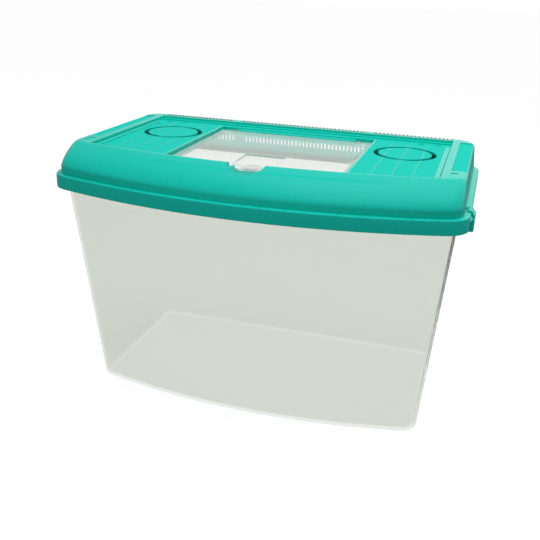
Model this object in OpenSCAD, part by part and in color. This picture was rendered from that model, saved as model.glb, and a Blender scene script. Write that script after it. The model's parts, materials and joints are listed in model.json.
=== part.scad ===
// Plastic pet keeper: a clear, tapered tank with a bowed front stands under a domed lid.
// The lid has a clear hinged hatch, a comb of vent slots, two knock-outs for tubes and
// two side clips. The origin is on the floor under the middle of the rim, +Z is up, the
// front faces -Y and all sizes are in millimetres.

/* [Rim] */
// Width over the rim of the lid
rim_w = 380; // [360:1:400]
// Depth over the rim of the lid, at the middle of the bow
rim_d = 242.4; // [236:0.1:250]
// Radius of the bowed front of the rim
rim_bow_r = 566; // [500:2:660]
// Corner radius of the rim
rim_corner = 24; // [20:1:27]
// Height of the lower edge of the rim above the floor
rim_z = 211.6; // [202:0.1:222]
// Height of the band round the rim
band_h = 12.8; // [12:0.1:15]
// Wall of the band and of its top ledge
band_wall = 2.2; // [1.8:0.1:2.4]
// Rounding of the upper edge of the band
band_round = 1.6; // [1:0.1:2]

/* [Lid] */
// Height of the lid above the band
dome_h = 26; // [25:0.1:30]
// How far the foot of the dome stands in from the edge of the band
foot_inset = 5; // [5:0.1:6]
// How far the bowed front leans back from its foot to its upper edge
front_lean = 32.2; // [28:0.1:36]
// How far each side and the back lean in
side_lean = 2.5; // [1.5:0.1:3]
// Radius of the bowed upper edge of the front
top_bow_r = 682; // [600:2:760]
// Rounding between the top and the sides
shoulder_r = 4; // [3:0.1:5]
// Wall of the dome
dome_wall = 2.2; // [1.8:0.1:2.6]
// Wall over the hollow under the raised borders
border_wall = 3; // [2.6:0.1:3.2]

/* [Sunken field] */
// Distance from the middle to each side wall of the field that is sunk in the top
field_x = 161.3; // [160:0.1:163]
// Distance of the back wall of the field behind the middle
field_back = 100.5; // [99:0.1:102]
// Depth of the step along the back wall
step_depth = 2.2; // [1.8:0.1:2.6]
// Distance of the edge of that step behind the middle
panel_back = 94.7; // [93:0.1:96]
// Depth of the panels below the borders
panel_depth = 3.4; // [3:0.1:3.8]
// Wall of the panels
panel_wall = 2; // [1.8:0.1:2.2]
// Width of the lip that stays along the front edge
front_lip = 2.6; // [2:0.1:3]
// Width of the strip that stands along each side wall
strip_w = 4.3; // [3.8:0.1:4.8]
// Width of the channel outside that strip
channel_w = 1.2; // [1:0.1:1.6]
// Distance of the back end of the strip behind the middle
strip_back = 77; // [70:0.1:84]
// Width of the bead along each side of the hatch
bead_w = 2.2; // [1.8:0.1:2.6]
// Height of that bead above the panels
bead_h = 0.6; // [0.3:0.1:0.9]

/* [Grip pads] */
// Distance from the middle to the inner edge of a grip pad
grip_x = 168.4; // [167:0.1:170]
// Front end of a grip pad
grip_front = -31; // [-36:0.1:-26]
// Back end of a grip pad
grip_back = 96; // [92:0.1:98]
// Depth of a grip pad
grip_depth = 1; // [0.6:0.1:1.4]
// Length of the shallow tablet in front of a grip pad
tablet_l = 15; // [12:0.1:17]
// Width of that tablet
tablet_w = 6; // [5:0.1:7]
// Distance from the middle to the inner edge of that tablet
tablet_x = 168.4; // [167:0.1:170]
// Distance between that tablet and the grip pad
tablet_gap = 8; // [6:0.1:10]
// Depth of that tablet
tablet_depth = 0.5; // [0.3:0.1:0.8]

/* [Tube knock-outs] */
// Distance from the middle to the centre of a knock-out
ring_x = 120.4; // [119:0.1:122]
// Distance of that centre behind the middle
ring_y = 35.4; // [24:0.1:44]
// Outer diameter of the slot round a knock-out
ring_d = 60.2; // [56:0.1:62]
// Width of that slot
ring_slot = 4.6; // [3.6:0.1:5.4]
// Width of the two bridges that hold the disc
bridge_w = 8; // [5:0.1:12]
// How far the bridges lie below the panel
bridge_drop = 0.8; // [0.4:0.1:1.2]
// Diameter of the round dimples behind a knock-out
dimple_d = 6; // [4:0.1:8]
// Depth of a dimple
dimple_depth = 0.8; // [0.4:0.1:1.2]
// Distance of the dimples behind the middle
dimple_y = 86.8; // [80:0.1:89]
// Distances of the two dimples from the middle
dimple_x = [129.9, 147.7];

/* [Vents] */
// Pitch of the vent slots
vent_pitch = 4.15; // [4.05:0.05:4.2]
// Width of one vent slot
vent_w = 2.1; // [1.8:0.1:2.4]
// Height of the slots down the back wall
vent_h = 24; // [18:0.1:24.4]
// How far the slots reach over the top
vent_reach = 7; // [5:0.1:9]
// Slots in the middle group
vent_mid = 33; // [29:2:33]
// Slots in each outer group
vent_side = 19; // [15:2:19]
// Distance from the middle to the centre of an outer group
vent_side_x = 119.4; // [118.8:0.1:120.4]

/* [Hatch] */
// Width of the recess that the hatch lies in
hatch_recess_w = 166.4; // [164:0.1:168]
// Distance of the hinge behind the middle
hinge_y = 81; // [76:0.1:84]
// Thickness of the hatch
hatch_t = 2.2; // [1.8:0.1:2.6]
// How far the hatch lies below the panels
hatch_drop = 1.4; // [1:0.1:1.8]
// Gap round the hatch
hatch_gap = 0.6; // [0.4:0.1:0.9]
// Width of the ledge under the edges of the hatch
ledge_w = 4.4; // [3.5:0.1:6]
// Thickness of that ledge
ledge_t = 2; // [1.6:0.1:2.4]
// How far the frame of the hatch reaches into the top
frame_lap = 0.4; // [0.2:0.1:0.6]
// Width of the ledge in front of the hinge
back_ledge_w = 6; // [4:0.1:8]
// Width of the ledge behind the lip of the front edge
front_ledge_w = 7; // [6:0.1:9]
// Height of the locating rib under the hatch
rib_h = 2.4; // [1.5:0.1:3]
// Width of that rib
rib_w = 1.6; // [1.2:0.1:2]
// Radius of the round hinge bar
bar_r = 4.2; // [4:0.1:4.6]
// Width of a hinge pocket
pocket_w = 16.6; // [12:0.1:18]
// Distance between a pocket and the side of the recess
pocket_edge = 2; // [1:0.1:4]
// Width of the ear that carries a hinge pin
ear_w = 4; // [3:0.1:6]
// How far an ear reaches into the plate of the hatch
ear_lap = 1; // [0.5:0.1:2]
// Radius of that ear
ear_r = 3.2; // [2.8:0.1:3.6]
// Radius of the hinge pins
pin_r = 1.5; // [1.2:0.1:1.8]
// Length of a hinge pin
pin_l = 4; // [3:0.1:6]
// Radial clearance of every pin
pin_clear = 0.08; // [0.05:0.01:0.1]
// Radius of the round finger tab
tab_r = 15; // [13:0.1:16]
// How far the centre of the tab lies behind the front edge of the lid
tab_set = 17.5; // [16:0.1:19]
// Depth of the dish in the tab
dish_depth = 1.6; // [1:0.1:1.8]
// Radius of the curve of the dish
dish_r = 55; // [45:1:80]
// Wall under the dish
dish_wall = 1.4; // [1.2:0.1:1.6]
// Width of the sunken field behind the dish
sink_w = 38; // [32:0.1:44]
// Length of that field from the middle of the dish
sink_l = 41; // [34:0.1:48]
// Depth of that field
sink_depth = 1; // [0.6:0.1:1.2]
// Diameter of the snap nubs under the front corners of the hatch
nub_d = 3.6; // [3:0.1:5]
// Radius of the finger scoop under the tab
scoop_r = 17; // [16.6:0.1:18]
// Height of the centre of the scoop above the lid
scoop_rise = 2; // [1:0.1:3]

/* [Side clips] */
// Distance of the middle of a clip in front of the middle of the rim
clip_y = -55; // [-60:0.1:-48]
// Width of a clip
clip_w = 24; // [20:0.1:28]
// Width of the knuckle of a clip
knuckle_w = 14; // [10:0.1:16]
// Radius of the bar that a clip swings on
clip_bar_r = 1.5; // [1.3:0.05:1.6]
// How far each end of that bar is sunk in the band
bar_seat = 1; // [0.5:0.1:2]
// Wall of the knuckle
knuckle_wall = 1.4; // [1.2:0.05:1.5]
// How far a clip stands out from the band
clip_proud = 3.4; // [2.5:0.1:5]
// Chamfer at the lower edges of a clip
clip_edge = 1; // [0.6:0.1:1.2]
// Height of the bevel at the top of a clip
clip_bevel = 2; // [1:0.1:2.4]
// Gap between a clip and the band
clip_gap = 0.4; // [0.3:0.05:0.6]
// Thickness of the hook under the band
hook_t = 2.2; // [1.6:0.1:3]

/* [Tank] */
// Wall of the tank
tank_wall = 2.2; // [1.8:0.1:2.8]
// Floor of the tank
tank_floor = 2.4; // [2:0.1:3.2]
// How much narrower each side of the floor is than the mouth
side_taper = 16.1; // [8:0.1:24]
// How far the floor starts behind the mouth at the front
front_taper = 34.2; // [20:0.1:42]
// How far the floor ends before the mouth at the back
back_taper = 2; // [1:0.1:10]
// Radius of the bowed front of the floor
floor_bow_r = 616; // [540:2:720]
// Corner radius of the tank at the floor
floor_corner = 14; // [12:0.5:20]
// Rounding of the lower edge
foot_round = 4; // [3:0.1:6]
// Width of the flange round the mouth
flange_w = 5.6; // [5:0.1:6.2]
// Gap between the flange and the band
flange_gap = 1.2; // [1:0.1:1.4]
// Thickness of the flange and of its turned-down edge
flange_t = 2; // [1.6:0.1:2.2]
// Gap between the flange and the lid that stands on it
seat_gap = 0.2; // [0.1:0.05:0.3]
// Diameter of the moulding mark under the floor
gate_d = 16; // [10:0.1:20]
// Depth of that mark
gate_depth = 0.6; // [0.3:0.1:1]
// Corner radius of the tank at the mouth
mouth_corner = 18; // [14:0.5:20]
// Diameter of the nub in the middle of the moulding mark
gate_nub_d = 3; // [2:0.1:5]

/* [Clearances] */
// Gap between the flange of the tank and the knuckle of a clip above it
knuckle_gap = 1; // [0.6:0.1:1.4]
// How far the turned-down edge of the flange stays above the lower edge of the band
edge_gap = 0.3; // [0.1:0.1:0.6]
// How far the bar of a clip lies inside the surface of the band
bar_cover = 0.1; // [0.05:0.05:0.2]
// Gap at each end of the knuckle of a clip
knuckle_end_gap = 0.5; // [0.3:0.1:0.8]
// Gap between the hatch and the ledge that it rests on
rest_gap = 0.1; // [0.05:0.05:0.2]
// Gap between the hatch and the hinge bar
bar_gap = 0.5; // [0.4:0.1:0.8]
// Gap between the hinge bar and the lid behind it
back_gap = 1.3; // [1:0.1:1.8]
// Gap between the locating rib and the edge of the opening
rib_gap = 0.4; // [0.3:0.1:0.8]
// Gap between the front part of the locating rib and the scoop
rib_scoop_gap = 2; // [1:0.5:4]
// Gap between an ear and the end of the hinge bar
ear_gap = 0.5; // [0.3:0.1:0.8]
// Gap between the end of a hinge pin and the bottom of its hole
pin_end_gap = 0.4; // [0.2:0.1:0.8]
// Gap between the hook of a clip and the flange of the tank
hook_gap = 0.4; // [0.3:0.1:0.8]
// How far a hinge pocket reaches in front of the back edge of the hatch
pocket_gap = 1.5; // [1:0.1:2]
// Gap between the dished tab and the wall of the scoop under it
scoop_gap = 1.6; // [1.2:0.1:2.2]

/* [Hidden] */
eps = 0.01;
// How far a cut reaches past the face that it opens
over = 1;
// Measured level, the sloping front wall is this much thicker than the upright ones
slope_ratio = 1.3;
// Part of the quarter ellipse, in degrees, that the front of the dome follows
front_arc = 60;
// Steps round each corner and along each bow
arc_steps = 7;
bow_steps = 24;
$fn = 64;

rim_half = rim_w / 2;
rim_back = rim_d / 2;
rim_front = -rim_d / 2;
rim_top = rim_z + band_h;
lid_top = rim_top + dome_h;
step_z = lid_top - step_depth;
panel_z = lid_top - panel_depth;
under_top = panel_z - panel_wall;

// The knuckle of a clip turns above the flange of the tank, which sets the height of the mouth
clip_axis_z = rim_top - clip_bar_r - bar_cover;
clip_axis_x = rim_half - clip_bar_r - bar_cover;
knuckle_r = clip_bar_r + pin_clear + knuckle_wall;
mouth_z = clip_axis_z - knuckle_r - knuckle_gap;
mouth_inset = band_wall + flange_gap + flange_w;
flange_bottom = rim_z + edge_gap;

edge_y = dome_front(lid_top);
hatch_top = panel_z - hatch_drop;
hatch_under = hatch_top - hatch_t;
ledge_z = hatch_under - rest_gap;
hinge_z = panel_z - bar_r;
recess_half = hatch_recess_w / 2;
opening_half = recess_half - ledge_w;
recess_back = hinge_y + bar_r + back_gap;
hatch_back = hinge_y - bar_r - bar_gap;
opening_back = hatch_back - back_ledge_w;
opening_front = edge_y + front_lip + front_ledge_w;
bar_half = recess_half - pocket_edge - pocket_w;
tab_y = edge_y + tab_set;

// Outline of a body seen from above: a bowed front, straight sides and back, and round
// corners. bow_r is the radius of the front, r that of the corners.
function plan(half, front, back, bow_r, r) =
    let (bow_y = front + bow_r,
         corner_x = half - r,
         corner_y = bow_y - sqrt(pow(bow_r - r, 2) - pow(corner_x, 2)),
         turn = atan2(corner_y - bow_y, corner_x))
    concat(
        [for (i = [1:bow_steps - 1])
            let (a = -180 - turn + (180 + 2 * turn) * i / bow_steps)
            [bow_r * cos(a), bow_y + bow_r * sin(a)]],
        corner(corner_x, corner_y, r, turn, 0),
        corner(corner_x, back - r, r, 0, 90),
        corner(-corner_x, back - r, r, 90, 180),
        corner(-corner_x, corner_y, r, 180, 180 - turn));

// Points round one corner, from angle a0 to angle a1
function corner(x, y, r, a0, a1) =
    [for (i = [0:arc_steps]) let (a = a0 + (a1 - a0) * i / arc_steps) [x + r * cos(a), y + r * sin(a)]];

// Outline of the rim, set in by a distance
function rim_plan(inset) =
    plan(rim_half - inset, rim_front + inset, rim_back - inset, rim_bow_r - inset, rim_corner - inset);

function blend(from, to, t) = from + (to - from) * t;

// Share of the height of the dome at z
function dome_t(z) = (z - rim_top) / dome_h;

// Front of the dome at z: part of an ellipse that starts upright and ends in a crisp edge
function dome_front(z) =
    let (reach = sin(front_arc) * max(0, dome_t(z)))
    rim_front + foot_inset + front_lean * (1 - sqrt(1 - reach * reach)) / (1 - cos(front_arc));

// How far the rounded shoulder draws in at z
function shoulder(z) =
    let (up = z - (lid_top - shoulder_r))
    up <= 0 ? 0 : shoulder_r - sqrt(max(0, shoulder_r * shoulder_r - up * up));

// Outline of the dome at z, set in by a distance
function dome_plan(z, inset) =
    let (lean = inset + foot_inset + side_lean * max(0, dome_t(z)) + shoulder(z))
    plan(rim_half - lean, dome_front(z) + slope_ratio * inset, rim_back - lean,
         blend(rim_bow_r - foot_inset, top_bow_r, max(0, dome_t(z))), rim_corner - lean);

// Outline of the tank at z, set in by a distance
function tank_plan(z, inset) =
    let (t = 1 - z / mouth_z)
    plan(rim_half - mouth_inset - side_taper * t - inset,
         rim_front + mouth_inset + front_taper * t + inset,
         rim_back - mouth_inset - back_taper * t - inset,
         blend(rim_bow_r - mouth_inset, floor_bow_r, t) - inset,
         blend(mouth_corner, floor_corner, t) - inset);

// A thin slice with the given outline, its upper face at z
module slice(points, z) {
    translate([0, 0, z - eps]) linear_extrude(eps) polygon(points);
}

// A prism with the given outline between two heights
module prism(points, z0, z1) {
    translate([0, 0, z0]) linear_extrude(z1 - z0) polygon(points);
}

// A box given by its two corners
module box(low, high) {
    translate(low) cube(high - low);
}

module both_sides() {
    children();
    mirror([1, 0, 0]) children();
}

// Heights of the slices through the dome: a foot in the ledge, the front's curve and the shoulder
dome_levels = concat(
    [rim_top - band_wall / 2],
    [for (i = [1:5]) rim_top + (dome_h - shoulder_r) * i / 5],
    [for (i = [1:4]) lid_top - shoulder_r * (1 - sin(22.5 * i))]);

module dome_outside() {
    hull() for (z = dome_levels) slice(dome_plan(z, 0), z);
}

// The hollow of the dome: it reaches up under the borders, round the floor of the sunken field
module dome_inside() {
    difference() {
        hull() {
            slice(dome_plan(rim_top, dome_wall), rim_z);
            for (i = [0:5]) let (z = blend(rim_top, lid_top - border_wall, i / 5))
                slice(dome_plan(z, dome_wall), z);
        }
        box([-field_x - dome_wall, rim_front, under_top],
            [field_x + dome_wall, field_back + dome_wall, lid_top]);
    }
}

module band_outside() {
    hull() {
        slice(rim_plan(0), rim_z + eps);
        for (i = [0:3]) let (a = 30 * i)
            slice(rim_plan(band_round * (1 - cos(a))), rim_top - band_round * (1 - sin(a)));
    }
}

// The hollow under the rim, round the ring that stands on the tank
module band_hollow() {
    difference() {
        prism(rim_plan(band_wall), rim_z - over, rim_top - band_wall);
        prism(dome_plan(rim_top, 0), mouth_z + seat_gap, rim_top);
    }
}

// The dome and the band round its foot, moulded as one shell
module lid_shell() {
    difference() {
        union() {
            dome_outside();
            band_outside();
        }
        dome_inside();
        band_hollow();
    }
}

// The frame under the hatch: a ledge round the opening, tied into the walls of the dome
module hatch_frame() {
    intersection() {
        dome_outside();
        box([-recess_half - dome_wall, rim_front, ledge_z - ledge_t],
            [recess_half + dome_wall, recess_back + dome_wall, under_top + frame_lap]);
    }
}

// The recess that the hatch and its hinge lie in, behind the lip along the front edge
module hatch_recess() {
    intersection() {
        translate([0, front_lip, 0]) prism(dome_plan(lid_top, 0), ledge_z, lid_top + over);
        box([-recess_half, rim_front, ledge_z], [recess_half, recess_back, lid_top + over]);
    }
}

module hatch_opening() {
    box([-opening_half, opening_front, ledge_z - ledge_t - over],
        [opening_half, opening_back, lid_top]);
    both_sides() box([bar_half, hatch_back - pocket_gap, ledge_z - ledge_t - over],
                     [bar_half + pocket_w, recess_back, lid_top]);
}

// The concave wall behind the finger scoop
module scoop_wall() {
    intersection() {
        translate([0, edge_y, lid_top + scoop_rise]) sphere(scoop_r + dome_wall);
        dome_outside();
        box([-recess_half, rim_front, rim_top], [recess_half, 0, ledge_z - scoop_gap]);
    }
}

module scoop() {
    translate([0, edge_y, lid_top + scoop_rise]) sphere(scoop_r);
}

// The round bar between the hinge pockets
module hinge_bar() {
    translate([-bar_half, hinge_y, hinge_z]) rotate([0, 90, 0]) cylinder(h = 2 * bar_half, r = bar_r);
}

// The blind hole in the right end of the bar
module pin_hole() {
    translate([bar_half - pin_l + ear_gap - pin_end_gap, hinge_y, hinge_z]) rotate([0, 90, 0])
        cylinder(h = pin_l, r = pin_r + pin_clear);
}

// The field sunk in the top, behind the lip, as deep as z and as far back as y
module field(y, z) {
    intersection() {
        translate([0, front_lip, 0]) prism(dome_plan(lid_top, 0), z, lid_top + over);
        box([-field_x, rim_front, z], [field_x, y, lid_top + over]);
    }
}

// The sunken field with its step along the back; a strip stands along each side wall and a
// bead along each side of the hatch
module sunken_field() {
    difference() {
        union() {
            field(field_back, step_z);
            field(panel_back, panel_z);
        }
        both_sides() {
            box([field_x - channel_w - strip_w, rim_front, panel_z - over],
                [field_x - channel_w, strip_back, step_z]);
            box([recess_half - over, rim_front, panel_z - over],
                [recess_half + bead_w, recess_back, panel_z + bead_h]);
        }
    }
}

// The grip pad and the tablet beside a panel, and the dimples behind its knock-out
module side_marks() {
    box([grip_x, grip_front, lid_top - grip_depth], [rim_half, grip_back, lid_top + over]);
    box([tablet_x, grip_front - tablet_gap - tablet_l, lid_top - tablet_depth],
        [tablet_x + tablet_w, grip_front - tablet_gap, lid_top + over]);
    for (x = dimple_x)
        translate([x, dimple_y, panel_z - dimple_depth]) cylinder(h = dimple_depth + over, d = dimple_d);
}

// The slot round a knock-out, with two bridges that hold the disc
module ring_cut() {
    translate([ring_x, ring_y, 0]) difference() {
        translate([0, 0, under_top - over])
            cylinder(h = panel_wall + 2 * over, d = ring_d);
        translate([0, 0, under_top - 2 * over])
            cylinder(h = panel_wall + 4 * over, d = ring_d - 2 * ring_slot);
        box([-bridge_w / 2, -ring_d, under_top - 2 * over], [bridge_w / 2, ring_d, panel_z - bridge_drop]);
    }
}

// One group of vent slots through the back wall and over its shoulder
module vent_group(count, middle) {
    for (i = [0:count - 1])
        translate([middle + (i - (count - 1) / 2) * vent_pitch, 0, 0])
            box([-vent_w / 2, rim_back - foot_inset - side_lean - vent_reach, lid_top - vent_h],
                [vent_w / 2, rim_back + over, lid_top + over]);
}

// The gap in the band where a clip's knuckle turns
module clip_window() {
    box([rim_half - foot_inset, clip_y - knuckle_w / 2 - knuckle_end_gap, mouth_z + seat_gap],
        [rim_half + over, clip_y + knuckle_w / 2 + knuckle_end_gap, rim_top + eps]);
}

// The bar across that gap, its ends sunk in the band
module clip_bar() {
    bar_l = knuckle_w + 2 * (knuckle_end_gap + bar_seat);
    translate([clip_axis_x, clip_y + bar_l / 2, clip_axis_z]) rotate([90, 0, 0])
        cylinder(h = bar_l, r = clip_bar_r);
}

module lid() {
    color("mediumturquoise") {
        difference() {
            union() {
                lid_top_cut();
                scoop_wall();
                hinge_bar();
            }
            scoop();
            both_sides() pin_hole();
        }
        both_sides() clip_bar();
    }
}

// The shell with its frame, after all that is sunk into it or cut through it
module lid_top_cut() {
    difference() {
        union() {
            lid_shell();
            hatch_frame();
        }
        sunken_field();
        hatch_recess();
        hatch_opening();
        both_sides() {
            side_marks();
            ring_cut();
            clip_window();
            vent_group(vent_side, vent_side_x);
        }
        vent_group(vent_mid, 0);
    }
}

// The clear hatch: a flat plate with a bowed front, a locating rib, a dished finger tab
// and an ear with a pin at each end of the hinge bar
module hatch() {
    color("gainsboro", 0.5) {
        difference() {
            union() {
                hatch_plate();
                translate([0, tab_y, hatch_under]) cylinder(h = hatch_t, r = tab_r);
                dish_bowl(dish_wall);
            }
            dish_bowl(0);
            box([-sink_w / 2, tab_y, hatch_top - sink_depth],
                [sink_w / 2, tab_y + sink_l, hatch_top + over]);
        }
        locating_rib();
        both_sides() hinge_ear();
    }
}

module hatch_plate() {
    intersection() {
        translate([0, front_lip + hatch_gap, 0]) prism(dome_plan(lid_top, 0), hatch_under, hatch_top);
        box([-recess_half + hatch_gap, rim_front, hatch_under],
            [recess_half - hatch_gap, hatch_back, hatch_top]);
    }
}

// The shallow bowl of the tab, cut off at the top of the plate
module dish_bowl(wall) {
    intersection() {
        translate([0, tab_y, hatch_top - dish_depth + dish_r]) sphere(dish_r + wall);
        translate([0, tab_y, hatch_top - dish_depth - dish_wall - over])
            cylinder(h = dish_depth + dish_wall + over, r = tab_r);
    }
}

module locating_rib() {
    out = opening_half - rib_gap;
    front = opening_front + rib_gap;
    z0 = hatch_under - rib_h;
    both_sides() {
        box([out - rib_w, front, z0], [out, opening_back - rib_gap, hatch_under + eps]);
        box([scoop_r + dome_wall + rib_scoop_gap, front, z0], [out, front + rib_w, hatch_under + eps]);
        translate([out - rib_w - nub_d, front + rib_w + 2 * nub_d, z0]) cylinder(h = rib_h + eps, d = nub_d);
    }
}

module hinge_ear() {
    x0 = bar_half + ear_gap;
    translate([x0, hinge_y, hinge_z]) rotate([0, 90, 0]) cylinder(h = ear_w, r = ear_r);
    box([x0, hatch_back - ear_lap, hatch_under], [x0 + ear_w, hinge_y, hatch_top]);
    translate([x0 - pin_l, hinge_y, hinge_z]) rotate([0, 90, 0]) cylinder(h = pin_l + over, r = pin_r);
}

// A side clip on the right: a knuckle round the bar, a plate outside the band and a hook
// under it
module clip_right() {
    color("mediumturquoise") translate([clip_axis_x, clip_y, clip_axis_z]) rotate([90, 0, 0]) {
        difference() {
            union() {
                translate([0, 0, -knuckle_w / 2]) cylinder(h = knuckle_w, r = knuckle_r);
                translate([0, 0, -knuckle_w / 2]) linear_extrude(knuckle_w) polygon(clip_profile(0));
            }
            translate([0, 0, -knuckle_w]) cylinder(h = 2 * knuckle_w, r = clip_bar_r + pin_clear);
            translate([-knuckle_r - over, -knuckle_r - over, -knuckle_w])
                cube([knuckle_r, knuckle_r, 2 * knuckle_w]);
        }
        translate([0, 0, -clip_w / 2]) linear_extrude(clip_w) polygon(clip_profile(-knuckle_r));
    }
}

// Profile of the clip, seen from the front, about the bar: x outwards, y upwards
function clip_profile(top) =
    let (face = rim_half - clip_axis_x,
         inner = face + clip_gap,
         outer = face + clip_proud,
         under = rim_z - clip_axis_z - clip_gap,
         tip = rim_half - band_wall - flange_gap + hook_gap - clip_axis_x)
    [[inner, top], [inner, under], [tip, under], [tip, under - hook_t / 2],
     [tip + hook_t / 2, under - hook_t], [outer - clip_edge, under - hook_t],
     [outer, under - hook_t + clip_edge], [outer, top - clip_bevel],
     [outer - 0.3 * clip_bevel, top - 0.3 * clip_bevel], [outer - clip_bevel, top]];

module clip_left() {
    mirror([1, 0, 0]) clip_right();
}

// The clear tank: tapered walls with a bowed front, a flange with a turned-down edge round
// the mouth and a round moulding mark under the floor
module tank() {
    color("gainsboro", 0.35) difference() {
        union() {
            tank_body(0, 0, mouth_z);
            prism(rim_plan(band_wall + flange_gap), mouth_z - flange_t, mouth_z);
            difference() {
                prism(rim_plan(band_wall + flange_gap), flange_bottom, mouth_z);
                prism(rim_plan(band_wall + flange_gap + flange_t), flange_bottom - over, mouth_z);
            }
        }
        tank_body(tank_wall, tank_floor, mouth_z + over);
        translate([0, gate_y(), -over]) cylinder(h = gate_depth + over, d = gate_d);
    }
    color("gainsboro", 0.35) translate([0, gate_y(), gate_depth / 2])
        cylinder(h = tank_floor, d = gate_nub_d);
}

// The mark sits in the middle of the floor
function gate_y() = (rim_front + front_taper + rim_back - back_taper) / 2;

// Solid body of the tank or of its hollow: lower edge rounded, walls set in by a distance
module tank_body(inset, z0, z1) {
    hull() {
        for (i = [0:3]) let (a = 30 * i, z = z0 + foot_round * (1 - cos(a)))
            slice(tank_plan(z, inset + foot_round * (1 - sin(a))), z + eps);
        slice(tank_plan(z1, inset), z1);
    }
}

tank();
lid();
hatch();
clip_left();
clip_right();
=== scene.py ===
"""A plastic pet keeper: a clear tank under a teal lid with a clear hatch and two side clips."""

import json
import math

import bmesh
import bpy
from mathutils import Matrix, Vector

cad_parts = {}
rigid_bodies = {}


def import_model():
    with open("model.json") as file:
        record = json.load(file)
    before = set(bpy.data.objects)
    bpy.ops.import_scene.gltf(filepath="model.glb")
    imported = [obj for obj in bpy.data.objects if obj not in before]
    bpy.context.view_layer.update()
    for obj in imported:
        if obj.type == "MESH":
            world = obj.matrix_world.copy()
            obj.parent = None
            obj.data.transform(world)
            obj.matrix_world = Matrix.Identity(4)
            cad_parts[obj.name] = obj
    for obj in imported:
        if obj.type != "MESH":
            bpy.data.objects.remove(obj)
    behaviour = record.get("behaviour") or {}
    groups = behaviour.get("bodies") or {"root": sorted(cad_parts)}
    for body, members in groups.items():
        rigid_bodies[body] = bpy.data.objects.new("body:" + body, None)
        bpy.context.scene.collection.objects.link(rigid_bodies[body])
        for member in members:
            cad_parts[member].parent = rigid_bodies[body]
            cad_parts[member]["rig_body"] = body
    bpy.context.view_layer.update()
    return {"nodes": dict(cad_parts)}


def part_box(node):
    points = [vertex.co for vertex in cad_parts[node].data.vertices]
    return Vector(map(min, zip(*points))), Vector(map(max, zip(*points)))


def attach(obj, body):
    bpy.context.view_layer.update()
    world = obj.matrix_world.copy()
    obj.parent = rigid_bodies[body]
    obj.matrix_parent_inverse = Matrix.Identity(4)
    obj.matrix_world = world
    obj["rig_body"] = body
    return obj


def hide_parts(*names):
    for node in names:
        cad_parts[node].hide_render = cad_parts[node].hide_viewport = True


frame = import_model()

MM = 0.001

# How near two points have to be to count as one, and the same for cuts and fine shapes
WELD = 0.002 * MM
FINE_WELD = 0.001 * MM

# Teal plastic: plain, with painted shade on the bars of the vents and in the knock-outs' slots,
# and painted light in the scoop
TEAL = (0.006, 0.66, 0.53)
COMB_SHADE_TEAL = (0.004, 0.30, 0.25)
SLOT_SHADE_TEAL = (0.003, 0.20, 0.17)
SCOOP_PAINTED_LIGHT_TEAL = (0.09, 0.78, 0.68)

# Teal plastic where it is glossy and where it is matte: how rough it is and how much it
# mirrors; then the rounding of its edges and the grain of its matte parts
GLOSS = (0.24, 0.32)
DULL = (0.62, 0.75)
SHINE = (0.19, 0.08)
EDGE_ROUND = 0.3 * MM
GRAIN = 0.05 * MM
GRAIN_STRENGTH = 0.6

# Clear plastic: how rough it is and what one of its walls lets through, with painted light and
# shade in some of its tints
CLEAR_ROUGH = (0.04, 0.12)
TANK_TINT = (0.785, 0.81, 0.77)
# A lighter tint in the tank's floor: painted light
TANK_FLOOR_PAINTED_LIGHT_TINT = (0.86, 0.88, 0.845)
# A still lighter tint along the seam round the floor: painted highlight
TANK_SEAM_HIGHLIGHT_TINT = (0.96, 0.965, 0.95)
HATCH_TINT = (0.92, 0.955, 0.93)
# Greyer in the hatch's dish and bluish on its steep faces: painted shade
HATCH_DISH_SHADE_TINT = (0.72, 0.75, 0.73)
HATCH_EDGE_SHADE_TINT = (0.6, 0.73, 0.77)

# The tank: the height up to which the floor's lighter tint, painted light, reaches, and the
# painted highlight seam round it
TANK_FLOOR_TOP = 2.8 * MM
TANK_HIGHLIGHT_SEAM = (2.65 * MM, 3.5 * MM)

# The top of the lid: its panels, and the bowed lip in front of them
LID_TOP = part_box("lid")[1].z
PANEL_Z = LID_TOP - 3.4 * MM
PANEL_INNER = 85.4 * MM
PANEL_OUTER = 155.8 * MM
PANEL_BACK = 94.7 * MM
LIP = 2.6 * MM
EDGE_Y = -84.0 * MM
EDGE_BOW = 682 * MM

# The heights between which level faces of the lid are matte: the panels, the grip pads
# outside GRIP_INNER and the step behind STEP_FRONT
PANEL_LAYER = (PANEL_Z - 1.0 * MM, PANEL_Z + 0.04 * MM)
PAD_LAYER = (LID_TOP - 1.2 * MM, LID_TOP - 0.8 * MM)
STEP_LAYER = (LID_TOP - 2.3 * MM, LID_TOP - 2.1 * MM)
STEP_FRONT = PANEL_BACK - 1.0 * MM
GRIP_INNER = 168.3 * MM

# A knock-out: its middle, the radius outside its slot and the width of the slot
RING = Vector((120.4, 35.4)) * MM
RING_R = 30.1 * MM
RING_SLOT = 4.6 * MM

# The channel under that slot
COLLAR_TOP = PANEL_Z - 2 * MM
COLLAR_LOW = PANEL_Z - 8 * MM
COLLAR_WALL = 1.4 * MM
COLLAR_STEPS = 72

# The raised lines of a panel, counted from the middle of its knock-out; those that run
# across are finer and lower
LINE_PITCH = 17.4 * MM
LINE_STEPS = (-1, 0, 1)
LINE_HALF = 0.35 * MM
LINE_ROOT = PANEL_Z - 0.05 * MM
LINE_TOP = PANEL_Z + 0.25 * MM
LINE_BACK = PANEL_BACK - 5 * MM
CROSS_STEPS = range(-6, 4)
CROSS_HALF = 0.25 * MM
CROSS_TOP = LINE_TOP - 0.15 * MM
CROSS_INNER = PANEL_INNER + 3 * MM
SHORTEST_LINE = 1 * MM

# The comb of vent slots: half its middle group, the ends of a side group, where it starts
# and how far down its bars are darker with painted shade
COMB_MID = 69.5 * MM
COMB_SIDE = (78.5 * MM, 160.0 * MM)
COMB_START = 103.0 * MM
COMB_LOW = LID_TOP - 2.5 * MM

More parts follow.
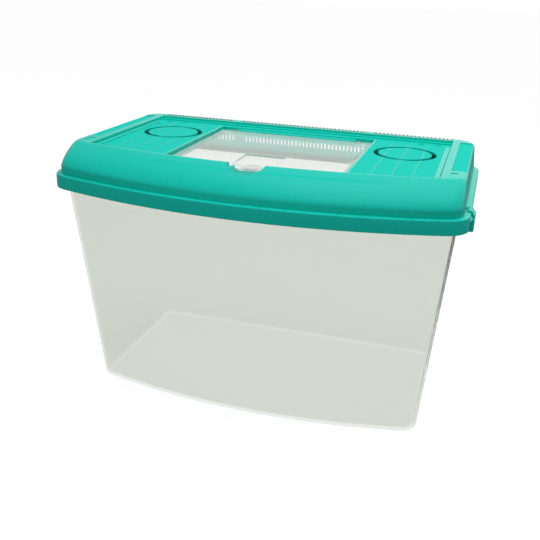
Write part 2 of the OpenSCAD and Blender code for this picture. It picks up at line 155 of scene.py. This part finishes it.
# The front of the dome in the solid: its foot, how it leans back to the top and its slices
DOME_H = 26 * MM
RIM_TOP = LID_TOP - DOME_H
RIM_FRONT = -121.2 * MM
RIM_BOW = 566 * MM
FOOT_INSET = 5 * MM
FRONT_LEAN = 32.2 * MM
FRONT_ARC = math.radians(60)
FRONT_SLICES = 5
SLICE_LOW = -1.1 * MM
SHOULDER = 4 * MM
SHOULDER_SLICES = 4

# The front as the photograph shows it: a nearly upright foot, a soft kink and a slope that
# is partly even and partly curved
KINK_H = 6.2 * MM
KINK_LEAN = 0.4 * MM
KINK_SOFT = 0.6 * MM
SLOPE_EVEN = 0.42
SLOPE_CURVED = 0.58

# The depths behind the front over which its move fades out, and the heights above the foot,
# in millimetres, at which faces are cut so that they can bend
FADE_START = 5 * MM
FADE_END = 13 * MM
CUT_HEIGHTS = (1.5, 3.0, 4.8, 5.4, 6.0, 6.6, 7.4, 9.0, 11.2, 15.4, 19.8)

# The back shoulder: where it is made fuller, by how much of its rounding and how that fades
BACK_START = 107.5 * MM
BACK_HALF = 172 * MM
BACK_FADE = 15 * MM
BACK_FILL = 0.6

# The finger scoop and the round tab above it
SCOOP = Vector((0, EDGE_Y, LID_TOP + 2 * MM))
SCOOP_R = 16.95 * MM
SCOOP_STEPS = 140
SCOOP_ROWS = SCOOP_STEPS // 2
SCOOP_HIGH = DOME_H - 3.6 * MM
SCOOP_INSET = 0.1 * MM
TAB_Y = EDGE_Y + 17.5 * MM
TAB_R = 15.6 * MM
TAB_LOW = LID_TOP - 9.4 * MM

# The upright share of a face's normal: above the first a face looks up and above the
# second it is level; below the others it is tilted or steep
LOOKS_UP = 0.9
LEVEL = 0.9999
TILTED = 0.9995
STEEP = 0.5

# Angles in degrees: what counts as flat, and where shading starts to break at an edge in
# general, on the lid and beside the level faces of the hatch
FLAT = 0.2
SHARP = 28
LID_SHARP = 17
LEVEL_SHARP = 2

# The camera of the photograph, with its focal length and the picture's width in pixels
EYE = Vector((193.64, -664.67, 397.07)) * MM
FORWARD = Vector((-0.259742, 0.892428, -0.368925))
UPWARD = Vector((-0.136529, 0.344262, 0.928893))
FOCAL = 729.5
PHOTO_WIDTH = 540
SENSOR = 36

# The studio: how bright the sky is as a light, the floor's reach and its grey and glow as it
# lights the object, as a gloss mirrors it and as it is seen
LAMP_TARGET = Vector((0, 0, 0.2))
SKY_LIGHT = 0.38
FLOOR_REACH = 14.0
FLOOR_Z = -0.2 * MM
FLOOR_LIT = (0.3, 0.0)
FLOOR_MIRRORED = (0.1, 0.12)
FLOOR_WHITE = (0.14, 0.93)


def add_node(tree, kind, **settings):
    node = tree.nodes.new(kind)
    for key, value in settings.items():
        setattr(node, key, value)
    return node


def feed(tree, socket, value):
    """Give an input a number, a colour or the output of another node."""
    if isinstance(value, bpy.types.NodeSocket):
        tree.links.new(value, socket)
    elif isinstance(value, tuple):
        socket.default_value = (*value, 1)
    else:
        socket.default_value = value


def math_node(tree, operation, a, b=None):
    """A Math node whose inputs are sockets or numbers; returns its output."""
    node = add_node(tree, "ShaderNodeMath", operation=operation)
    feed(tree, node.inputs[0], a)
    if b is not None:
        feed(tree, node.inputs[1], b)
    return node.outputs[0]


def axes(tree, output="Object"):
    """The x, y and z of a point, of its normal or of a direction, as sockets."""
    place = add_node(tree, "ShaderNodeTexCoord")
    split = add_node(tree, "ShaderNodeSeparateXYZ")
    feed(tree, split.inputs[0], place.outputs[output])
    return split.outputs


def between(tree, value, low, high):
    """1 where value lies between low and high, and 0 elsewhere."""
    above = math_node(tree, "GREATER_THAN", value, low)
    below = math_node(tree, "LESS_THAN", value, high)
    return math_node(tree, "MULTIPLY", above, below)


def noise(tree, scale):
    place = add_node(tree, "ShaderNodeTexCoord")
    texture = add_node(tree, "ShaderNodeTexNoise")
    texture.inputs["Scale"].default_value = scale
    texture.inputs["Detail"].default_value = 3.0
    texture.inputs["Roughness"].default_value = 0.5
    feed(tree, texture.inputs["Vector"], place.outputs["Object"])
    return texture.outputs["Fac"]


def map_range(tree, value, to_low, to_high, from_low=0.0, from_high=1.0):
    node = add_node(tree, "ShaderNodeMapRange")
    node.inputs["From Min"].default_value = from_low
    node.inputs["From Max"].default_value = from_high
    node.inputs["To Min"].default_value = to_low
    node.inputs["To Max"].default_value = to_high
    feed(tree, node.inputs["Value"], value)
    return node.outputs[0]


def mix_numbers(tree, share, first, second):
    """A Mix node for numbers, which go in at 2 and 3 and come out at 0."""
    node = add_node(tree, "ShaderNodeMix", data_type="FLOAT")
    feed(tree, node.inputs[0], share)
    feed(tree, node.inputs[2], first)
    feed(tree, node.inputs[3], second)
    return node.outputs[0]


def mix_colours(tree, share, first, second):
    """A Mix node for colours, which go in at 6 and 7 and come out at 2."""
    node = add_node(tree, "ShaderNodeMix", data_type="RGBA")
    feed(tree, node.inputs[0], share)
    feed(tree, node.inputs[6], first)
    feed(tree, node.inputs[7], second)
    return node.outputs[2]


def mix_shaders(tree, share, first, second):
    node = add_node(tree, "ShaderNodeMixShader")
    feed(tree, node.inputs[0], share)
    feed(tree, node.inputs[1], first)
    feed(tree, node.inputs[2], second)
    return node.outputs[0]


def principled(name):
    """A new material, its node tree and its shader node."""
    material = bpy.data.materials.new(name)
    material.use_nodes = True
    tree = material.node_tree
    return material, tree, tree.nodes["Principled BSDF"]


def matte_mask(tree):
    """1 on the sunken panels, the grip pads and the back step of the lid, and 0 elsewhere."""
    x, y, z = axes(tree)
    side = math_node(tree, "ABSOLUTE", x)
    level = axes(tree, "Normal")[2]
    upward = math_node(tree, "GREATER_THAN", level, LOOKS_UP)
    panel = between(tree, z, *PANEL_LAYER)
    pad = between(tree, z, *PAD_LAYER)
    pad = math_node(tree, "MULTIPLY", pad, math_node(tree, "GREATER_THAN", side, GRIP_INNER))
    step = between(tree, z, *STEP_LAYER)
    step = math_node(tree, "MULTIPLY", step, math_node(tree, "GREATER_THAN", y, STEP_FRONT))
    sunk = math_node(tree, "ADD", math_node(tree, "ADD", panel, pad), step)
    return math_node(tree, "MULTIPLY", sunk, upward)


def comb_shade_mask(tree):
    """1 on the bars between the vent slots where they bend over the back edge, where shade is
    painted, and 0 elsewhere.
    """
    x, y, z = axes(tree)
    side = math_node(tree, "ABSOLUTE", x)
    middle = math_node(tree, "LESS_THAN", side, COMB_MID)
    bars = math_node(tree, "ADD", middle, between(tree, side, *COMB_SIDE))
    back = math_node(tree, "GREATER_THAN", y, COMB_START)
    top = math_node(tree, "GREATER_THAN", z, COMB_LOW)
    return math_node(tree, "MULTIPLY", bars, math_node(tree, "MULTIPLY", back, top))


def teal_material(name, colour=TEAL):
    """Glossy moulded plastic, matte in the sunken parts of the lid, with painted shade that makes
    it darker on its comb.
    """
    material, tree, shader = principled(name)
    matte = matte_mask(tree)
    comb = comb_shade_mask(tree)
    # A darker teal on the bars of the comb: painted shade
    feed(tree, shader.inputs["Base Color"], mix_colours(tree, comb, colour, COMB_SHADE_TEAL))
    shader.inputs["IOR"].default_value = 1.5
    mottle = noise(tree, scale=900)
    gloss = map_range(tree, noise(tree, scale=60), *GLOSS)
    dull = map_range(tree, mottle, *DULL)
    feed(tree, shader.inputs["Roughness"], mix_numbers(tree, matte, gloss, dull))
    dim = math_node(tree, "MAXIMUM", matte, comb)
    feed(tree, shader.inputs["Specular IOR Level"], map_range(tree, dim, *SHINE))
    soft = add_node(tree, "ShaderNodeBevel", samples=4)
    soft.inputs["Radius"].default_value = EDGE_ROUND
    relief = add_node(tree, "ShaderNodeBump")
    relief.inputs["Distance"].default_value = GRAIN
    relief.inputs["Strength"].default_value = GRAIN_STRENGTH
    feed(tree, relief.inputs["Height"], math_node(tree, "MULTIPLY", mottle, matte))
    feed(tree, relief.inputs["Normal"], soft.outputs[0])
    feed(tree, shader.inputs["Normal"], relief.outputs[0])
    return material


def clear_material(name, coat):
    """Clear plastic: its body lets light straight through and its coat mirrors as plastic does.

    Returns the material, its node tree and the input for what each wall lets through.
    """
    material, tree, shader = principled(name)
    shader.inputs["Transmission Weight"].default_value = 1.0
    shader.inputs["IOR"].default_value = 1.01
    shader.inputs["Coat Weight"].default_value = coat
    shader.inputs["Coat IOR"].default_value = 1.5
    shader.inputs["Coat Roughness"].default_value = 0.04
    rough = map_range(tree, noise(tree, scale=25), *CLEAR_ROUGH)
    feed(tree, shader.inputs["Roughness"], rough)
    return material, tree, shader.inputs["Base Color"]


def tank_material():
    """The tank's plastic, with painted light making it lighter in the floor and a painted
    highlight making it lightest along the seam round it.
    """
    material, tree, tint = clear_material("clear_tank", coat=0.35)
    z = axes(tree)[2]
    low = math_node(tree, "LESS_THAN", z, TANK_FLOOR_TOP)
    seam = between(tree, z, *TANK_HIGHLIGHT_SEAM)
    # The floor's lighter tint is painted light and the seam's is a painted highlight
    wall = mix_colours(tree, low, TANK_TINT, TANK_FLOOR_PAINTED_LIGHT_TINT)
    feed(tree, tint, mix_colours(tree, seam, wall, TANK_SEAM_HIGHLIGHT_TINT))
    return material


def hatch_material():
    """The hatch's plastic, with painted shade that makes it greyer where it isn't level and bluish
    where it is steep.
    """
    material, tree, tint = clear_material("clear_hatch", coat=0.95)
    level = math_node(tree, "ABSOLUTE", axes(tree, "Normal")[2])
    tilted = math_node(tree, "LESS_THAN", level, TILTED)
    steep = math_node(tree, "LESS_THAN", level, STEEP)
    # Greyer in the dish and bluish on steep faces: painted shade
    plate = mix_colours(tree, tilted, HATCH_TINT, HATCH_DISH_SHADE_TINT)
    feed(tree, tint, mix_colours(tree, steep, plate, HATCH_EDGE_SHADE_TINT))
    return material


def new_piece(name, mesh, material, body):
    """A piece made of a mesh, with one material, that moves with a body."""
    mesh.materials.clear()
    mesh.materials.append(material)
    piece = bpy.data.objects.new(name, mesh)
    bpy.context.scene.collection.objects.link(piece)
    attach(piece, body)
    return piece


def lid_piece(name, shape, material):
    """A piece of the lid made of a bmesh, which is used up."""
    mesh = bpy.data.meshes.new(name)
    shape.to_mesh(mesh)
    shape.free()
    return new_piece(name, mesh, material, "lid")


def blend(low, high, share):
    return low + (high - low) * share


def arc_lean(rise):
    """How far the front of the dome leans back at a height above its foot, in the solid."""
    reach = math.sin(FRONT_ARC) * min(1, max(0, rise / DOME_H))
    return FRONT_LEAN * (1 - math.sqrt(1 - reach ** 2)) / (1 - math.cos(FRONT_ARC))


def solid_lean(rise):
    """The same along the straight stretches between the slices of the solid."""
    levels = [SLICE_LOW]
    for i in range(1, FRONT_SLICES + 1):
        levels.append((DOME_H - SHOULDER) * i / FRONT_SLICES)
    for i in range(1, SHOULDER_SLICES + 1):
        turn = math.radians(90 * i / SHOULDER_SLICES)
        levels.append(DOME_H - SHOULDER * (1 - math.sin(turn)))
    for low, high in zip(levels, levels[1:]):
        if rise <= high:
            share = (rise - low) / (high - low)
            return blend(arc_lean(low), arc_lean(high), share)
    return FRONT_LEAN


def seen_lean(rise):
    """The same as the photograph shows it, for a height below the top of the dome."""
    above = KINK_SOFT * math.log1p(math.exp((rise - KINK_H) / KINK_SOFT))
    share = min(1, above / (DOME_H - KINK_H))
    slope = SLOPE_EVEN * share + SLOPE_CURVED * share ** 2
    return KINK_LEAN * min(1, rise / KINK_H) + (FRONT_LEAN - KINK_LEAN) * slope


def solid_front(x, rise):
    """The y of the outside of the dome's front in the solid, at a height above its foot."""
    bow = blend(RIM_BOW - FOOT_INSET, EDGE_BOW, rise / DOME_H)
    middle = RIM_FRONT + FOOT_INSET + solid_lean(rise) + bow
    return middle - math.sqrt(bow ** 2 - x ** 2)


def front_shift(point):
    """How far back a point near the front of the dome moves to reach the seen shape.

    It is negative, a move forward, round the kink. The move fades out behind the wall, so
    that the panels and the hatch stay in place.
    """
    rise = point.z - RIM_TOP
    if not 0 < rise < DOME_H:
        return 0.0
    depth = point.y - solid_front(point.x, rise)
    fade = min(1, max(0, (FADE_END - depth) / (FADE_END - FADE_START)))
    return (seen_lean(rise) - solid_lean(rise)) * fade * fade * (3 - 2 * fade)


def back_shift(point):
    """How far a point of the back shoulder moves out, where the photograph shows it fuller."""
    up = point.z - (LID_TOP - SHOULDER)
    if up <= 0 or point.y < BACK_START:
        return 0.0
    fade = min(1, max(0, (BACK_HALF - abs(point.x)) / BACK_FADE))
    return BACK_FILL * fade * (SHOULDER - math.sqrt(max(0, SHOULDER ** 2 - up ** 2)))


def shape_dome(shape):
    """Give the dome the front and the back shoulder that the photograph shows."""
    for rise in CUT_HEIGHTS:
        bmesh.ops.bisect_plane(
            shape, geom=shape.verts[:] + shape.edges[:] + shape.faces[:], dist=FINE_WELD,
            plane_co=(0, 0, RIM_TOP + rise * MM), plane_no=(0, 0, 1))
    for vert in shape.verts:
        vert.co.y += front_shift(vert.co) + back_shift(vert.co)


def dressed(node, name, material, reshape=None, sharp_from=SHARP, flat_sharp=False):
    """A piece with the shape of a CAD node, shaded smooth between its sharp edges.

    With flat_sharp, shading breaks at nearly every edge of a level face too.
    """
    source = frame["nodes"][node]
    mesh = source.data.copy()
    mesh.name = name
    shape = bmesh.new()
    shape.from_mesh(mesh)
    bmesh.ops.remove_doubles(shape, verts=shape.verts, dist=WELD)
    bmesh.ops.dissolve_limit(
        shape, angle_limit=math.radians(FLAT), verts=shape.verts, edges=shape.edges)
    if reshape:
        reshape(shape)
    for face in shape.faces:
        face.smooth = True
    for seam in shape.edges:
        level = flat_sharp and any(abs(face.normal.z) > LEVEL for face in seam.link_faces)
        limit = LEVEL_SHARP if level else sharp_from
        seam.smooth = seam.calc_face_angle(0) < math.radians(limit)
    shape.to_mesh(mesh)
    shape.free()
    piece = new_piece(name, mesh, material, source["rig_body"])
    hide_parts(node)
    return piece


def add_bar(shape, low, high):
    """A box between two corners, added to a bmesh."""
    size = Vector(high) - Vector(low)
    middle = (Vector(high) + Vector(low)) / 2
    place = Matrix.Translation(middle) @ Matrix.Diagonal((*size, 1))
    bmesh.ops.create_cube(shape, size=1, matrix=place)


def add_ring(shape, x, y, z, radius, steps):
    """A level ring of vertices round a point, added to a bmesh."""
    ring = []
    for i in range(steps):
        turn = 2 * math.pi * i / steps
        place = (x + radius * math.cos(turn), y + radius * math.sin(turn), z)
        ring.append(shape.verts.new(place))
    return ring


def cells(rings):
    """The four corners of each cell between one ring of vertices and the next."""
    for ring, after in zip(rings, rings[1:]):
        for i in range(len(ring)):
            j = (i + 1) % len(ring)
            yield ring[i], ring[j], after[j], after[i]


def front_edge(x):
    """Where the bowed lip of the lid ends and a panel starts."""
    return EDGE_Y + LIP + EDGE_BOW - math.sqrt(EDGE_BOW ** 2 - x ** 2)


def half_chord(radius, offset):
    """Half of a circle's chord at a distance from its middle, or 0 outside it."""
    return math.sqrt(max(0.0, radius ** 2 - offset ** 2))


def outside_slot(low, high, offset):
    """Stretches of a line from low to high that don't cross the slot round a knock-out.

    The line passes the middle of the knock-out at the distance offset.
    """
    outer = half_chord(RING_R, offset)
    inner = half_chord(RING_R - RING_SLOT, offset)
    if outer == 0:
        return [(low, high)]
    stretches = [(low, -outer), (outer, high)]
    if inner > 0:
        stretches.append((-inner, inner))
    return [(a, b) for a, b in stretches if b - a > SHORTEST_LINE]


def panel_lines(material):
    """Fine raised lines along and across both sunken panels and their knock-outs."""
    shape = bmesh.new()
    for side in (-1, 1):
        for step in LINE_STEPS:
            x = side * (RING.x + step * LINE_PITCH)
            start = front_edge(x) - RING.y
            for a, b in outside_slot(start, LINE_BACK - RING.y, step * LINE_PITCH):
                add_bar(shape, (x - LINE_HALF, RING.y + a, LINE_ROOT),
                        (x + LINE_HALF, RING.y + b, LINE_TOP))
        for step in CROSS_STEPS:
            y = RING.y + step * LINE_PITCH
            start = CROSS_INNER - RING.x
            for a, b in outside_slot(start, PANEL_OUTER - RING.x, step * LINE_PITCH):
                ends = sorted((side * (RING.x + a), side * (RING.x + b)))
                add_bar(shape, (ends[0], y - CROSS_HALF, LINE_ROOT),
                        (ends[1], y + CROSS_HALF, CROSS_TOP))
    return lid_piece("panel_lines", shape, material)


def knock_out_collars(material):
    """A channel under each knock-out that closes its slot from below."""
    shape = bmesh.new()
    inner = RING_R - RING_SLOT
    foot = COLLAR_LOW - COLLAR_WALL
    profile = [
        (RING_R, COLLAR_TOP), (RING_R, COLLAR_LOW), (inner, COLLAR_LOW), (inner, COLLAR_TOP),
        (inner - COLLAR_WALL, COLLAR_TOP), (inner - COLLAR_WALL, foot),
        (RING_R + COLLAR_WALL, foot), (RING_R + COLLAR_WALL, COLLAR_TOP), (RING_R, COLLAR_TOP)]
    for side in (-1, 1):
        rings = []
        for radius, z in profile:
            rings.append(add_ring(shape, side * RING.x, RING.y, z, radius, COLLAR_STEPS))
        for corners in cells(rings):
            shape.faces.new(corners)
    bmesh.ops.remove_doubles(shape, verts=shape.verts, dist=WELD)
    bmesh.ops.recalc_face_normals(shape, faces=shape.faces)
    return lid_piece("knock_out_collars", shape, material)


def inside_scoop(point):
    """Whether a point of the scoop's round wall lies in the lid and clear of the tab."""
    rise = point.z - RIM_TOP
    if rise > SCOOP_HIGH:
        return False
    under_tab = math.hypot(point.x, point.y - TAB_Y) < TAB_R
    if under_tab and point.z > TAB_LOW:
        return False
    return point.y > solid_front(point.x, rise) + SCOOP_INSET


def scoop_lining(material):
    """The smooth inside of the finger scoop, up to the edge of the round tab."""
    shape = bmesh.new()
    rings = []
    for i in range(SCOOP_ROWS + 1):
        down = math.pi / 2 * i / SCOOP_ROWS
        z = SCOOP.z - SCOOP_R * math.cos(down)
        radius = SCOOP_R * math.sin(down)
        rings.append(add_ring(shape, SCOOP.x, SCOOP.y, z, radius, SCOOP_STEPS))
    for corners in cells(rings):
        middle = sum((v.co for v in corners), Vector()) / 4
        if inside_scoop(middle):
            shape.faces.new(corners)
    loose = [v for v in shape.verts if not v.link_faces]
    bmesh.ops.delete(shape, geom=loose, context="VERTS")
    bmesh.ops.remove_doubles(shape, verts=shape.verts, dist=FINE_WELD)
    for vert in shape.verts:
        vert.co.y += front_shift(vert.co)
    for face in shape.faces:
        face.smooth = True
    return lid_piece("scoop_lining", shape, material)


def camera():
    """The photograph's camera, found by fitting about a hundred edges of the object."""
    forward = FORWARD.normalized()
    right = forward.cross(UPWARD).normalized()
    up = right.cross(forward)
    lens = bpy.data.cameras.new("camera")
    lens.sensor_width = SENSOR
    lens.lens = FOCAL * SENSOR / PHOTO_WIDTH
    lens.clip_start = 0.01
    lens.clip_end = 20
    eye = bpy.data.objects.new("camera", lens)
    turn = Matrix((right, up, -forward)).transposed()
    eye.matrix_world = Matrix.Translation(EYE) @ turn.to_4x4()
    bpy.context.scene.collection.objects.link(eye)
    bpy.context.scene.camera = eye


def area_light(name, place, size, power):
    """A square lamp aimed at the object, which neither the eye nor any gloss sees."""
    data = bpy.data.lights.new(name, "AREA")
    data.shape = "SQUARE"
    data.size = size
    data.energy = power
    lamp = bpy.data.objects.new(name, data)
    lamp.location = place
    lamp.rotation_euler = (LAMP_TARGET - Vector(place)).to_track_quat("-Z", "Y").to_euler()
    lamp.visible_camera = False
    lamp.visible_glossy = False
    lamp.visible_transmission = False
    bpy.context.scene.collection.objects.link(lamp)


def seen_by(tree, *kinds):
    """1 for the named kinds of ray, and 0 for all others."""
    rays = add_node(tree, "ShaderNodeLightPath")
    total = rays.outputs[kinds[0]]
    for kind in kinds[1:]:
        total = math_node(tree, "MAXIMUM", total, rays.outputs[kind])
    return total


def by_ray(tree, lit, mirrored, white):
    """White to the eye and through clear plastic, mirrored to a gloss and lit to all else."""
    shown = mix_shaders(tree, seen_by(tree, "Is Glossy Ray"), lit, mirrored)
    return mix_shaders(tree, seen_by(tree, "Is Camera Ray", "Is Transmission Ray"), shown, white)


def background(tree, strength):
    light = add_node(tree, "ShaderNodeBackground")
    light.inputs["Color"].default_value = (1, 1, 1, 1)
    feed(tree, light.inputs["Strength"], strength)
    return light.outputs[0]


def world():
    """An even pale sky: plain white to the eye and through clear plastic.

    A gloss shows it white behind the object and dimmer in front and far to the left, as a
    studio is.
    """
    sky = bpy.data.worlds.new("studio")
    bpy.context.scene.world = sky
    sky.use_nodes = True
    tree = sky.node_tree
    tree.nodes.clear()
    x, y = axes(tree, "Generated")[:2]
    depth = map_range(tree, y, 0.25, 1.0, from_low=-0.2, from_high=0.5)
    leftward = map_range(tree, x, 0.45, 1.0, from_low=-0.5, from_high=-0.36)
    sheen = background(tree, math_node(tree, "MULTIPLY", depth, leftward))
    shown = by_ray(tree, background(tree, SKY_LIGHT), sheen, background(tree, 1.0))
    out = add_node(tree, "ShaderNodeOutputWorld")
    feed(tree, out.inputs["Surface"], shown)


def glowing(tree, grey, strength):
    """A dull grey surface that may glow as well."""
    matte = add_node(tree, "ShaderNodeBsdfDiffuse")
    feed(tree, matte.inputs["Color"], (grey, grey, grey))
    glow = add_node(tree, "ShaderNodeEmission")
    glow.inputs["Strength"].default_value = strength
    both = add_node(tree, "ShaderNodeAddShader")
    feed(tree, both.inputs[0], matte.outputs[0])
    feed(tree, both.inputs[1], glow.outputs[0])
    return both.outputs[0]


def floor():
    """A pale floor that the camera sees as white, with the soft shadow of the object."""
    mesh = bpy.data.meshes.new("floor")
    reach = FLOOR_REACH
    corners = [(-reach, -reach, 0), (reach, -reach, 0), (reach, reach, 0), (-reach, reach, 0)]
    mesh.from_pydata(corners, [], [(0, 1, 2, 3)])
    ground = bpy.data.objects.new("floor", mesh)
    ground.location.z = FLOOR_Z
    bpy.context.scene.collection.objects.link(ground)
    material = bpy.data.materials.new("floor")
    material.use_nodes = True
    tree = material.node_tree
    tree.nodes.clear()
    lit = glowing(tree, *FLOOR_LIT)
    mirrored = glowing(tree, *FLOOR_MIRRORED)
    white = glowing(tree, *FLOOR_WHITE)
    out = add_node(tree, "ShaderNodeOutputMaterial")
    feed(tree, out.inputs["Surface"], by_ray(tree, lit, mirrored, white))
    mesh.materials.append(material)


def pieces():
    teal = teal_material("teal_plastic")
    clear = tank_material()
    pane = hatch_material()
    dressed("lid", "lid_shell", teal, shape_dome, LID_SHARP)
    # The scoop's lining is a lighter teal: painted light
    scoop_lining(teal_material("scoop_painted_light_teal", SCOOP_PAINTED_LIGHT_TEAL))
    # The channel under each slot is coloured a dark teal: painted shade
    knock_out_collars(teal_material("slot_painted_shade_teal", SLOT_SHADE_TEAL))
    panel_lines(teal)
    dressed("clip_left", "clip_left_moulding", teal)
    dressed("clip_right", "clip_right_moulding", teal)
    dressed("tank", "tank_moulding", clear)
    dressed("hatch", "hatch_moulding", pane, flat_sharp=True)


camera()
world()
floor()
area_light("key", (0.22, 0.12, 1.27), size=1.0, power=8.6)
area_light("fill", (-0.5, -1.4, 0.9), size=1.4, power=2.2)
pieces()
bpy.context.scene.view_settings.view_transform = "Standard"
